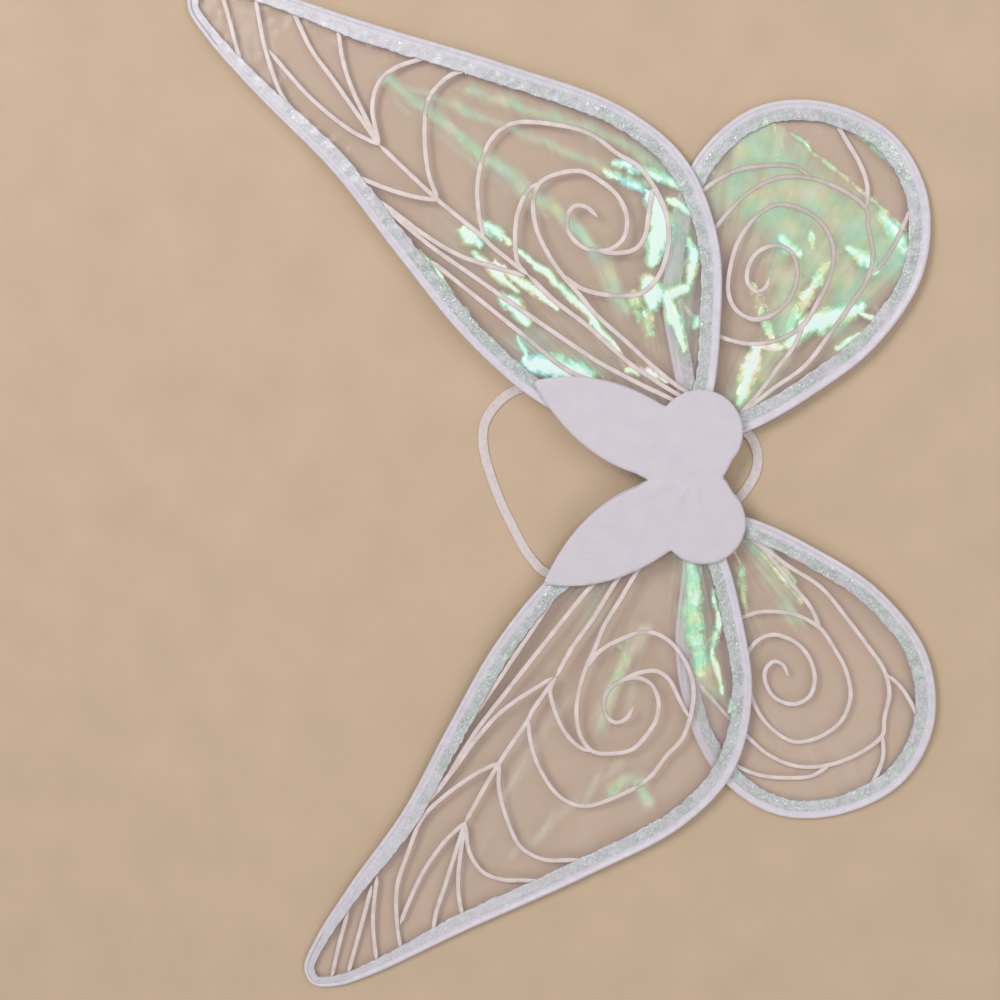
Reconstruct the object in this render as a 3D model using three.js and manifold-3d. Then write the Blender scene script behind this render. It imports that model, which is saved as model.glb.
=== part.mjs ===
// Costume fairy wings: two film-covered wire wings on each side of a pair of felt pads.
//
// Frame, in millimetres: the wings lie face up. +Z is the decorated front face, +Y is up when
// the wings are worn, +X is the wearer's right. The origin is the middle of the back pad's
// underside, on the crease line. Each half of the wings folds about a line beside the crease.
import * as THREE from 'three';
import { mergeVertices } from 'three/addons/utils/BufferGeometryUtils.js';
import Module from 'manifold-3d';

const wasm = await Module();
wasm.setup();

// ---- Driving dimensions -------------------------------------------------------------------
const UPPER_LENGTH = 1.0;         // stretch of the upper wings along their own length
const LOWER_LENGTH = 1.0;         // stretch of the lower wings away from the pads
const UPPER_TURN_DEG = 2.4;       // the upper pair sits turned this much in the pads
const DROOP_DEG = 1.67;           // each half slopes down from the hinge line to its rim

const WIRE_RADIUS = 0.7;
const WIRE_CLEARANCE = 0.45;      // room round the wire inside the folded hem
const HEM_WALL = 0.35;
const HEM_WIDTH = 10;             // from the wire to the hem's inner edge
const HEM_TIP_WIDTH = 5.5;        // the same at a wing's pointed end
const FILM_THICKNESS = 0.4;
const GAP = 0.3;                  // clearance between pieces that touch

const PAD_THICKNESS = 1.5;
const HINGE_X = 4;                // fold lines, either side of the crease, level with the front pad's top

const WRAP_WALL = 0.4;
const WRAP_CLEARANCE = 0.45;      // beside the legs, which bow out a little between their ends
const WRAP_START_X = 6;
const WRAP_LENGTH = 8;            // ends just before the legs start to bend
const LEG_SPACING = 8;            // between the two legs of one wire at the pads
const LEG_START_X = 5.5;

const STRAP_WIDTH = 5.5;
const STRAP_THICKNESS = 0.8;
const STITCH_SIZE = [2.2, 4.2, 0.5];

const HEM_START = { upper: 62, lower: 30 };   // hem starts this far along the wire
const HEM_END = { upper: 30, lower: 26 };     // and stops this far before its other end
const STATIONS_PER_SPAN = 3;

// ---- Worked-out levels --------------------------------------------------------------------
const BEAD_INNER = WIRE_RADIUS + WIRE_CLEARANCE;
const BEAD_RADIUS = BEAD_INNER + HEM_WALL;
const LOWER_LEVEL = PAD_THICKNESS + GAP + BEAD_RADIUS;
const UPPER_LEVEL = LOWER_LEVEL + 2 * BEAD_RADIUS + GAP;
const FRONT_PAD_LEVEL = UPPER_LEVEL + BEAD_RADIUS + GAP;
const SLOPE = Math.tan(THREE.MathUtils.degToRad(DROOP_DEG));

const COLOURS = {
  felt: 0xd6cfd8,
  wire: 0x8f9296,
  film: 0xd9c3cf,
  hem: 0xd5d3da,
  tape: 0xeeeeec,
  elastic: 0xe2d3cf,
  thread: 0xf2efec,
};

// ---- Small helpers ------------------------------------------------------------------------
const point = (x, y) => new THREE.Vector2(x, y);

function smooth(value, from, to) {
  return THREE.MathUtils.smoothstep(value, from, to);
}

// Height lost to the droop at a distance from the crease.
function droop(x) {
  return SLOPE * Math.max(0, Math.abs(x) - HINGE_X);
}

function signedVolume(geometry) {
  const p = geometry.attributes.position;
  const index = geometry.index;
  const a = new THREE.Vector3();
  const b = new THREE.Vector3();
  const c = new THREE.Vector3();
  let six = 0;
  for (let i = 0; i < index.count; i += 3) {
    a.fromBufferAttribute(p, index.getX(i));
    b.fromBufferAttribute(p, index.getX(i + 1));
    c.fromBufferAttribute(p, index.getX(i + 2));
    six += a.dot(b.cross(c));
  }
  return six / 6;
}

// Moves every vertex of a closed geometry and leaves its faces pointing out.
function reshape(geometry, move) {
  geometry.deleteAttribute('normal');
  geometry.deleteAttribute('uv');
  const merged = mergeVertices(geometry, 1e-4);
  const p = merged.attributes.position;
  const v = new THREE.Vector3();
  for (let i = 0; i < p.count; i++) {
    v.fromBufferAttribute(p, i);
    move(v);
    p.setXYZ(i, v.x, v.y, v.z);
  }
  if (signedVolume(merged) < 0) {
    const index = merged.index;
    for (let i = 0; i < index.count; i += 3) {
      const second = index.getX(i + 1);
      index.setX(i + 1, index.getX(i + 2));
      index.setX(i + 2, second);
    }
  }
  merged.computeVertexNormals();
  return merged;
}

function toManifold(geometry) {
  const mesh = new wasm.Mesh({
    numProp: 3,
    vertProperties: Float32Array.from(geometry.attributes.position.array),
    triVerts: Uint32Array.from(geometry.index.array),
  });
  return new wasm.Manifold(mesh);
}

function fromManifold(solid) {
  const mesh = solid.getMesh();
  const geometry = new THREE.BufferGeometry();
  geometry.setAttribute('position', new THREE.BufferAttribute(mesh.vertProperties, 3));
  geometry.setIndex(new THREE.BufferAttribute(mesh.triVerts, 1));
  geometry.computeVertexNormals();
  return geometry;
}

function slab(shape, bottom, top) {
  const geometry = new THREE.ExtrudeGeometry(shape, {
    depth: top - bottom,
    bevelEnabled: false,
    curveSegments: 10,
  });
  geometry.translate(0, 0, bottom);
  return geometry;
}

const wings = new THREE.Group();

function addPiece(name, geometry, colour, roughness, metalness = 0) {
  const material = new THREE.MeshStandardMaterial({ color: colour, roughness, metalness });
  const mesh = new THREE.Mesh(geometry, material);
  mesh.name = name;
  wings.add(mesh);
}

// ---- Wing outlines ------------------------------------------------------------------------
// The wire of a right wing seen from the front: out along its leading edge, round the far end
// and back to the pads. Both ends are straight legs that sit side by side in the wrap.
const LEG = LEG_SPACING / 2;

const UPPER_ROUTE = [
  [LEG_START_X, LEG], [15, LEG], [22, 15], [34, 47], [52, 80], [90, 117], [141, 152],
  [192, 185], [240, 225], [276, 252], [294, 261], [304, 257], [305, 243], [299, 222],
  [270, 156], [238, 80], [208, 19], [176, -13], [130, -27], [80, -24], [48, -18],
  [28, -10], [15, -LEG], [LEG_START_X, -LEG],
];

const LOWER_ROUTE = [
  [LEG_START_X, LEG], [15, LEG], [30, 1], [52, 2], [100, 8], [145, 2], [180, -15],
  [202, -45], [203, -80], [184, -117], [150, -135], [108, -132], [70, -106], [44, -70],
  [28, -40], [20, -15], [15, -LEG], [LEG_START_X, -LEG],
];

// The legs keep their place in the wrap and everything further out stretches.
function stretched(route, along, factor) {
  return route.map(([x, y]) => {
    const reach = x * along[0] + y * along[1];
    const extra = (factor - 1) * Math.max(0, reach - WRAP_START_X - WRAP_LENGTH);
    return new THREE.Vector3(x + along[0] * extra, y + along[1] * extra, 0);
  });
}

// Stations along a curve: a place, the level direction into the bend's right-hand side, and the
// distance travelled.
function stationsAt(points) {
  let travelled = 0;
  return points.map((p, i) => {
    if (i > 0) {
      travelled += p.distanceTo(points[i - 1]);
    }
    const before = points[Math.max(0, i - 1)];
    const after = points[Math.min(points.length - 1, i + 1)];
    const tangent = point(after.x - before.x, after.y - before.y).normalize();
    return { x: p.x, y: p.y, z: p.z, inX: tangent.y, inY: -tangent.x, travelled };
  });
}

function wireStations(route) {
  const curve = new THREE.CatmullRomCurve3(route, false, 'centripetal');
  return stationsAt(curve.getPoints((route.length - 1) * STATIONS_PER_SPAN));
}

// Wings in the order they are stacked, lowest first.
const WINGS = {
  lower: {
    stations: wireStations(stretched(LOWER_ROUTE, [0.83, -0.56], LOWER_LENGTH)),
    level: LOWER_LEVEL,
    turn: 0,
    tipAt: null,
  },
  upper: {
    stations: wireStations(stretched(UPPER_ROUTE, [0.77, 0.64], UPPER_LENGTH)),
    level: UPPER_LEVEL,
    turn: THREE.MathUtils.degToRad(UPPER_TURN_DEG),
    tipAt: 10.4 / 23,
  },
};

// Takes a point of a right wing, in its own plane, to its place on one side of the wings.
function place(v, side, wing) {
  const radius = Math.hypot(v.x, v.y);
  const angle = wing.turn * smooth(radius, 18, 55);
  const x = v.x * side;
  const y = v.y;
  v.x = x * Math.cos(angle) - y * Math.sin(angle);
  v.y = x * Math.sin(angle) + y * Math.cos(angle);
  v.z += wing.level - droop(v.x);
}

// Extrudes a section straight, then lays each slice level across its station. Section x runs to
// the right of the route and section y runs up.
function sweep(section, stations, adjust) {
  const last = stations.length - 1;
  const straight = new THREE.ExtrudeGeometry(section, {
    depth: last,
    steps: last,
    bevelEnabled: false,
  });
  return reshape(straight, (v) => {
    const station = stations[Math.round(v.z)];
    const across = v.x * (v.x > BEAD_RADIUS ? adjust.width(station) : 1);
    v.set(station.x + station.inX * across, station.y + station.inY * across, station.z + v.y);
    adjust.place(v);
  });
}

function hemStations(name) {
  const all = WINGS[name].stations;
  const total = all[all.length - 1].travelled;
  return all.filter((s) => s.travelled > HEM_START[name] && s.travelled < total - HEM_END[name]);
}

// The hem narrows towards the pointed end of an upper wing.
function hemWidthAt(name) {
  const { stations, tipAt } = WINGS[name];
  if (tipAt === null) {
    return () => 1;
  }
  const total = stations[stations.length - 1].travelled;
  const tip = stations[Math.round(tipAt * (stations.length - 1))].travelled;
  const narrow = HEM_TIP_WIDTH / HEM_WIDTH;
  return (s) => narrow + (1 - narrow) * smooth(Math.abs(s.travelled - tip), 0.01 * total, 0.16 * total);
}

// ---- Sections -----------------------------------------------------------------------------
function ringPoints(radius, from, to, count) {
  const points = [];
  for (let i = 0; i <= count; i++) {
    const a = from + ((to - from) * i) / count;
    points.push(point(radius * Math.cos(a), radius * Math.sin(a)));
  }
  return points;
}

function wireSection() {
  const sides = 8;
  return new THREE.Shape(ringPoints(WIRE_RADIUS, 0, 2 * Math.PI, sides).slice(0, sides));
}

// A strip folded over the wire: a bead round the wire and two leaves with the film between.
function hemSection() {
  const leafInner = FILM_THICKNESS / 2 + GAP;
  const leafOuter = leafInner + HEM_WALL;
  const outer = Math.asin(leafOuter / BEAD_RADIUS);
  const inner = Math.asin(leafInner / BEAD_INNER);
  return new THREE.Shape([
    point(HEM_WIDTH, leafOuter),
    ...ringPoints(BEAD_RADIUS, outer, 2 * Math.PI - outer, 5),
    point(HEM_WIDTH, -leafOuter),
    point(HEM_WIDTH, -leafInner),
    ...ringPoints(BEAD_INNER, 2 * Math.PI - inner, inner, 5),
    point(HEM_WIDTH, leafInner),
  ]);
}

// ---- Wires, hems and film -----------------------------------------------------------------
const SIDES = { left: -1, right: 1 };

function filmShape(name) {
  const inset = BEAD_INNER + GAP;
  const edge = hemStations(name).map((s) => point(s.x + s.inX * inset, s.y + s.inY * inset));
  return new THREE.Shape(edge);
}

for (const [sideName, side] of Object.entries(SIDES)) {
  for (const [name, wing] of Object.entries(WINGS)) {
    const toSide = (v) => place(v, side, wing);
    const wire = sweep(wireSection(), wing.stations, { width: () => 1, place: toSide });
    addPiece(`${name}_wire_${sideName}`, wire, COLOURS.wire, 0.35, 0.9);

    const hem = sweep(hemSection(), hemStations(name), { width: hemWidthAt(name), place: toSide });
    addPiece(`${name}_hem_${sideName}`, hem, COLOURS.hem, 0.4);

    const film = slab(filmShape(name), -FILM_THICKNESS / 2, FILM_THICKNESS / 2);
    addPiece(`${name}_film_${sideName}`, reshape(film, toSide), COLOURS.film, 0.15);
  }
}

// ---- Tape wrap round the four wire legs of each half --------------------------------------
for (const [sideName, side] of Object.entries(SIDES)) {
  const halfWidth = LEG + WIRE_RADIUS + WRAP_CLEARANCE;
  const low = LOWER_LEVEL - WIRE_RADIUS - GAP;
  const high = UPPER_LEVEL + WIRE_RADIUS + GAP;
  const outline = new THREE.Shape([
    point(-halfWidth - WRAP_WALL, low - WRAP_WALL),
    point(halfWidth + WRAP_WALL, low - WRAP_WALL),
    point(halfWidth + WRAP_WALL, high + WRAP_WALL),
    point(-halfWidth - WRAP_WALL, high + WRAP_WALL),
  ]);
  outline.holes.push(new THREE.Path([
    point(-halfWidth, low),
    point(-halfWidth, high),
    point(halfWidth, high),
    point(halfWidth, low),
  ]));
  const tube = slab(outline, WRAP_START_X, WRAP_START_X + WRAP_LENGTH);
  const wrap = reshape(tube, (v) => {
    const x = v.z;
    v.set(x * side, v.x, v.y - droop(x));
  });
  addPiece(`wire_wrap_${sideName}`, wrap, COLOURS.tape, 0.7);
}

// ---- Felt pads ----------------------------------------------------------------------------
// Each pad is a butterfly: a leaf for each upper wing, a round lobe for each lower wing, and a
// flat strip between the hinge lines.
const NOTCH_TOP = [21, 28];       // y at the crease and at the hinge line
const NOTCH_BOTTOM = [-21, -23.5];
const LEAF_TIP = [59, 84];
const LEAF_NOTCH = [42, 11];
const LOBE = { x: 26, y: -9, radius: 24, from: 50, to: -133 };

function halfPadShape() {
  const shape = new THREE.Shape();
  shape.moveTo(HINGE_X, NOTCH_TOP[1]);
  shape.quadraticCurveTo(16, 62, LEAF_TIP[0] - 3, LEAF_TIP[1] - 1);
  shape.quadraticCurveTo(LEAF_TIP[0] + 1, LEAF_TIP[1] + 1, LEAF_TIP[0] + 1, LEAF_TIP[1] - 4);
  shape.quadraticCurveTo(65, 44, LEAF_NOTCH[0], LEAF_NOTCH[1]);
  const from = THREE.MathUtils.degToRad(LOBE.from);
  const to = THREE.MathUtils.degToRad(LOBE.to);
  shape.absarc(LOBE.x, LOBE.y, LOBE.radius, from, to, true);
  shape.lineTo(HINGE_X, NOTCH_BOTTOM[1]);
  return shape;
}

function stripShape() {
  return new THREE.Shape([
    point(-HINGE_X, NOTCH_BOTTOM[1]),
    point(0, NOTCH_BOTTOM[0]),
    point(HINGE_X, NOTCH_BOTTOM[1]),
    point(HINGE_X, NOTCH_TOP[1]),
    point(0, NOTCH_TOP[0]),
    point(-HINGE_X, NOTCH_TOP[1]),
  ]);
}

function pad(bottom) {
  const top = bottom + PAD_THICKNESS;
  let solid = toManifold(reshape(slab(stripShape(), bottom, top), () => {}));
  for (const side of Object.values(SIDES)) {
    const half = reshape(slab(halfPadShape(), bottom, top), (v) => {
      v.z -= droop(v.x);
      v.x *= side;
    });
    solid = solid.add(toManifold(half));
  }
  return fromManifold(solid);
}

addPiece('felt_pad_back', pad(0), COLOURS.felt, 0.95);
addPiece('felt_pad_front', pad(FRONT_PAD_LEVEL), COLOURS.felt, 0.95);

// ---- Arm straps ---------------------------------------------------------------------------
// Two flat elastic loops, one for each arm, that lie slack under the pads. A route point is
// x, y and how far it has risen from the surface below (0) to the pad it is sewn to (1).
const STRAP_ROUTES = {
  left: [
    [-57, 69, 1], [-57, 77, 0.9], [-53, 86, 0.5], [-46, 92, 0.15], [-38, 97, 0], [-27, 102, 0],
    [-13, 108, 0], [2, 113, 0], [20, 117, 0], [34, 116, 0], [45, 109, 0], [53, 98, 0],
    [56, 84, 0], [55, 70, 0], [53, 56, 0], [48, 43, 0], [41, 30, 0], [32, 19, 0], [20, 9, 0],
    [6, -1, 0.1], [-8, -11, 0.45], [-19, -19, 0.95], [-28, -25, 1],
  ],
  right: [
    [32, -23, 1], [28, -30, 0.9], [22, -37, 0.35], [12, -41, 0], [1, -40, 0], [-8, -35, 0],
    [-16, -28, 0], [-25, -19, 0], [-33, -9, 0], [-38, 4, 0], [-35, 17, 0], [-26, 26, 0],
    [-14, 25, 0], [-4, 17, 0], [6, 13, 0], [15, 17, 0], [22, 28, 0], [28, 42, 0.2],
    [37, 57, 0.9], [46, 71, 1],
  ],
};
const STRAP_STEPS = 40;

function lowestRim() {
  let lowest = 0;
  for (const [name, wing] of Object.entries(WINGS)) {
    for (const station of hemStations(name)) {
      for (const side of Object.values(SIDES)) {
        const v = new THREE.Vector3(station.x, station.y, -BEAD_RADIUS);
        place(v, side, wing);
        lowest = Math.min(lowest, v.z);
      }
    }
  }
  return lowest;
}

const FLOOR_Z = lowestRim();

function strapPoint([x, y, rise]) {
  const resting = FLOOR_Z + STRAP_THICKNESS / 2;
  const sewn = -droop(x) - GAP - STRAP_THICKNESS / 2;
  return new THREE.Vector3(x, y, THREE.MathUtils.lerp(resting, sewn, rise));
}

function strapSection() {
  const half = point(STRAP_WIDTH / 2, STRAP_THICKNESS / 2);
  const edge = half.y * 0.4;
  const shoulder = half.x - half.y;
  return new THREE.Shape([
    point(-half.x, edge), point(-half.x, -edge), point(-shoulder, -half.y), point(shoulder, -half.y),
    point(half.x, -edge), point(half.x, edge), point(shoulder, half.y), point(-shoulder, half.y),
  ]);
}

// A bar of thread under each sewn end of a strap.
function tack([x, y]) {
  const [across, along, thick] = STITCH_SIZE;
  const top = -GAP - STRAP_THICKNESS - GAP;
  const box = new THREE.BoxGeometry(across, along, thick);
  return reshape(box, (v) => {
    v.x += x;
    v.y += y;
    v.z += top - thick / 2 - droop(v.x);
  });
}

for (const [sideName, route] of Object.entries(STRAP_ROUTES)) {
  const path = new THREE.CatmullRomCurve3(route.map(strapPoint), false, 'centripetal');
  const stations = stationsAt(path.getSpacedPoints(STRAP_STEPS));
  const strap = sweep(strapSection(), stations, { width: () => 1, place: () => {} });
  addPiece(`arm_strap_${sideName}`, strap, COLOURS.elastic, 0.85);

  const ends = [route[0], route[route.length - 1]].sort((a, b) => b[1] - a[1]);
  addPiece(`strap_tack_upper_${sideName}`, tack(ends[0]), COLOURS.thread, 0.8);
  addPiece(`strap_tack_lower_${sideName}`, tack(ends[1]), COLOURS.thread, 0.8);
}

export default wings;
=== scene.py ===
import math

import bpy
import numpy as np
from mathutils import Matrix, Vector
from mathutils.geometry import delaunay_2d_cdt


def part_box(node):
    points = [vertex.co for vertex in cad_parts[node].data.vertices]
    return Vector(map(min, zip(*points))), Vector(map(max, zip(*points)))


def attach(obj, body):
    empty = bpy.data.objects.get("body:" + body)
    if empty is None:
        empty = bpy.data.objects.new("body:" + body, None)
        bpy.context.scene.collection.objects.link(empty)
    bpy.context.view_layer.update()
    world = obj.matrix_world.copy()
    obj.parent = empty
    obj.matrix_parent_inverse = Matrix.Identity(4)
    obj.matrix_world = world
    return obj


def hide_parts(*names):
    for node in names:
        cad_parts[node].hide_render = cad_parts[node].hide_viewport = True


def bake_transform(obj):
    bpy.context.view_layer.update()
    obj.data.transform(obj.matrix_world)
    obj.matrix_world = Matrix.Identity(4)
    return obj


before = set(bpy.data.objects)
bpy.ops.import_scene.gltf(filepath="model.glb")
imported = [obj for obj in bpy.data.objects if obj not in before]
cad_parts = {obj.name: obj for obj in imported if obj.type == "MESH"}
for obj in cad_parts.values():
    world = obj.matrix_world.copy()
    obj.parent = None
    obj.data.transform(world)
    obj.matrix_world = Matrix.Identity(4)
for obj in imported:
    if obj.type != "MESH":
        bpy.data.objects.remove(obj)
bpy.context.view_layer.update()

MM = 0.001
rng = np.random.RandomState(11)
FLOOR_Z = -4.1 * MM

# ---- Camera -------------------------------------------------------------------------------
CAMERA_PLACE = (0.1044, -0.0096, 0.805)
CAMERA_LOOKS_ALONG = (-0.1391, 0.1436, -0.9798)
CAMERA_TOP = (0.9888, -0.0337, -0.1454)
LENS, SENSOR = 50.4, 36


def make_camera():
    forward = Vector(CAMERA_LOOKS_ALONG).normalized()
    right = forward.cross(Vector(CAMERA_TOP)).normalized()
    up = right.cross(forward)
    data = bpy.data.cameras.new("camera")
    data.lens = LENS
    data.sensor_width = SENSOR
    camera = bpy.data.objects.new("camera", data)
    bpy.context.collection.objects.link(camera)
    camera.matrix_world = Matrix.Translation(CAMERA_PLACE) @ Matrix(
        (right, up, -forward)
    ).transposed().to_4x4()
    bpy.context.scene.camera = camera


make_camera()


# ---- Small helpers ------------------------------------------------------------------------
def smooth(value, start, end):
    t = np.clip((np.asarray(value, float) - start) / (end - start), 0, 1)
    return t * t * (3 - 2 * t)


LATTICE = np.random.RandomState(5).rand(256, 256) * 2 - 1


def noise(x, y, size, layer=0):
    """Smooth noise from -1 to 1, with hills about one size across."""
    u = np.asarray(x, float) / size + 37.31 * layer
    v = np.asarray(y, float) / size + 11.73 * layer
    i, j = np.floor(u).astype(int), np.floor(v).astype(int)
    s, t = u - i, v - j
    s, t = s * s * (3 - 2 * s), t * t * (3 - 2 * t)
    a, b = LATTICE[i % 256, j % 256], LATTICE[(i + 1) % 256, j % 256]
    c, d = LATTICE[i % 256, (j + 1) % 256], LATTICE[(i + 1) % 256, (j + 1) % 256]
    return (a * (1 - s) + b * s) * (1 - t) + (c * (1 - s) + d * s) * t


def noise_along(along, size, layer):
    """The same noise for a single measure, such as the distance along a line."""
    return noise(along, 0 * along, size, layer)


def ridges(x, y, size, layer=0):
    """Sharp creases: 1 along a crease and 0 far from one."""
    return 1 - np.abs(noise(x, y, size, layer)) * 2.2


def catmull_rom(points, per_span):
    """Centripetal Catmull-Rom curve through the points."""
    p = np.asarray(points, float)
    p = np.vstack([2 * p[0] - p[1], p, 2 * p[-1] - p[-2]])
    out = []
    for k in range(1, len(p) - 2):
        p0, p1, p2, p3 = p[k - 1 : k + 3]
        d = [np.linalg.norm(b - a) ** 0.5 for a, b in ((p0, p1), (p1, p2), (p2, p3))]
        t1 = ((p1 - p0) / d[0] - (p2 - p0) / (d[0] + d[1]) + (p2 - p1) / d[1]) * d[1]
        t2 = ((p2 - p1) / d[1] - (p3 - p1) / (d[1] + d[2]) + (p3 - p2) / d[2]) * d[1]
        for t in np.arange(per_span) / per_span:
            out.append(
                p1 * (2 * t**3 - 3 * t**2 + 1)
                + t1 * (t**3 - 2 * t**2 + t)
                + p2 * (3 * t**2 - 2 * t**3)
                + t2 * (t**3 - t**2)
            )
    return np.array(out + [p[-2]])


def travelled(points):
    return np.concatenate([[0], np.cumsum(np.linalg.norm(np.diff(points, axis=0), axis=1))])


def spaced(points, step):
    """The same line with even steps of about the given length."""
    along = travelled(points)
    count = max(2, int(round(along[-1] / step)) + 1)
    at = np.linspace(0, along[-1], count)
    return np.stack([np.interp(at, along, column) for column in points.T], axis=1)


def side_normals(line):
    """Unit normals to a flat line, on its right-hand side as it runs."""
    tangent = np.gradient(line, axis=0)
    tangent /= np.linalg.norm(tangent, axis=1)[:, None]
    return np.stack([tangent[:, 1], -tangent[:, 0]], axis=1)


def enclosed_area(outline):
    x, y = outline.T
    return 0.5 * abs(np.dot(x, np.roll(y, 1)) - np.dot(y, np.roll(x, 1)))


def nearest_on(line, points):
    """Distance to a polyline and how far along it the nearest place is, for many points."""
    a, b = line[:-1], line[1:]
    ab = b - a
    along = travelled(line)
    size = np.diff(along)
    best = np.full(len(points), 1e9)
    where = np.zeros(len(points))
    for k in range(len(a)):
        t = np.clip((points - a[k]) @ ab[k] / (size[k] ** 2 + 1e-12), 0, 1)
        d = np.linalg.norm(points - (a[k] + t[:, None] * ab[k]), axis=1)
        closer = d < best
        best[closer] = d[closer]
        where[closer] = along[k] + t[closer] * size[k]
    return best, where


def make_object(name, points, faces, material, attributes=None, flat=False):
    """A mesh object from points in millimetres."""
    mesh = bpy.data.meshes.new(name)
    mesh.from_pydata((np.asarray(points) * MM).tolist(), [], faces)
    for key, values in (attributes or {}).items():
        layer = mesh.attributes.new(key, "FLOAT", "POINT")
        layer.data.foreach_set("value", np.asarray(values, np.float32))
    if not flat:
        mesh.polygons.foreach_set("use_smooth", [True] * len(mesh.polygons))
    mesh.materials.append(material)
    mesh.update()
    made = bpy.data.objects.new(name, mesh)
    bpy.context.collection.objects.link(made)
    return made


def grid_faces(rows, columns, closed=False, start=0):
    faces = []
    across = columns if closed else columns - 1
    for i in range(rows - 1):
        for j in range(across):
            a = start + i * columns + j
            b = start + i * columns + (j + 1) % columns
            faces.append((a, b, b + columns, a + columns))
    return faces


def end_caps(rows, columns, start=0):
    """The two faces that close the ends of a closed grid."""
    last = start + (rows - 1) * columns
    return [tuple(range(start, start + columns))[::-1], tuple(range(last, last + columns))]


# ---- Materials ----------------------------------------------------------------------------
class Nodes:
    """A short way to write a node material."""

    def __init__(self, name):
        self.material = bpy.data.materials.new(name)
        self.material.use_nodes = True
        self.tree = self.material.node_tree
        self.shader = self.tree.nodes["Principled BSDF"]
        place = self.add("ShaderNodeTexCoord").outputs["Object"]
        scale = self.add("ShaderNodeVectorMath", operation="SCALE")
        self.tree.links.new(place, scale.inputs[0])
        scale.inputs["Scale"].default_value = 1000
        self.millimetres = scale.outputs[0]

    def add(self, kind, **settings):
        node = self.tree.nodes.new(kind)
        for key, value in settings.items():
            setattr(node, key, value)
        return node

    def put(self, socket, value):
        if isinstance(value, bpy.types.NodeSocket):
            self.tree.links.new(value, socket)
        else:
            socket.default_value = value

    def set(self, **values):
        for key, value in values.items():
            self.put(self.shader.inputs[key.replace("_", " ")], value)

    def math(self, operation, *values, clamp=False):
        node = self.add("ShaderNodeMath", operation=operation, use_clamp=clamp)
        for socket, value in zip(node.inputs, values):
            self.put(socket, value)
        return node.outputs[0]

    def times(self, a, b, clamp=False):
        return self.math("MULTIPLY", a, b, clamp=clamp)

    def plus(self, a, b, clamp=False):
        return self.math("ADD", a, b, clamp=clamp)

    def attribute(self, name):
        return self.add("ShaderNodeAttribute", attribute_name=name).outputs["Fac"]

    def vector(self, x, y, z=0.0):
        node = self.add("ShaderNodeCombineXYZ")
        for socket, value in zip(node.inputs, (x, y, z)):
            self.put(socket, value)
        return node.outputs[0]

    def noise(self, size, detail=2.0, roughness=0.5, vector=None, distortion=0.0):
        node = self.add("ShaderNodeTexNoise")
        self.put(node.inputs["Vector"], vector or self.millimetres)
        node.inputs["Scale"].default_value = 1 / size
        node.inputs["Detail"].default_value = detail
        node.inputs["Roughness"].default_value = roughness
        node.inputs["Distortion"].default_value = distortion
        return node.outputs["Fac"]

    def cell_colour(self, size, vector=None):
        node = self.add("ShaderNodeTexVoronoi", feature="F1")
        self.put(node.inputs["Vector"], vector or self.millimetres)
        node.inputs["Scale"].default_value = 1 / size
        return node.outputs["Color"]

    def cell_tone(self, size, vector=None):
        """One random number from 0 to 1 for each cell of about the given size."""
        split = self.add("ShaderNodeSeparateColor")
        self.put(split.inputs[0], self.cell_colour(size, vector))
        return split.outputs[0]

    def warped(self, amount, size):
        """Places pushed about by noise, so that a pattern over them isn't regular."""
        wobble = self.add("ShaderNodeTexNoise")
        self.put(wobble.inputs["Vector"], self.millimetres)
        wobble.inputs["Scale"].default_value = 1 / size
        push = self.add("ShaderNodeVectorMath", operation="SCALE")
        self.put(push.inputs[0], wobble.outputs["Color"])
        push.inputs["Scale"].default_value = amount * 2
        total = self.add("ShaderNodeVectorMath", operation="ADD")
        self.put(total.inputs[0], self.millimetres)
        self.put(total.inputs[1], push.outputs[0])
        return total.outputs[0]

    def ramp(self, value, *stops):
        """Colours at places from 0 to 1. A single number is a grey."""
        node = self.add("ShaderNodeValToRGB")
        self.put(node.inputs[0], value)
        elements = node.color_ramp.elements
        while len(elements) < len(stops):
            elements.new(0.5)
        for element, (at, colour) in zip(elements, stops):
            element.position = at
            grey = not hasattr(colour, "__len__")
            element.color = (colour,) * 3 + (1,) if grey else tuple(colour) + (1,)
        return node.outputs["Color"]

    def mix(self, factor, a, b):
        node = self.add("ShaderNodeMix", data_type="RGBA")
        self.put(node.inputs["Factor"], factor)
        for socket, value in ((node.inputs["A"], a), (node.inputs["B"], b)):
            self.put(socket, value if isinstance(value, bpy.types.NodeSocket) else tuple(value) + (1,))
        return node.outputs["Result"]

    def bump(self, height, distance, strength):
        node = self.add("ShaderNodeBump")
        node.inputs["Distance"].default_value = distance * MM
        node.inputs["Strength"].default_value = strength
        self.put(node.inputs["Height"], height)
        return node.outputs["Normal"]


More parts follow.
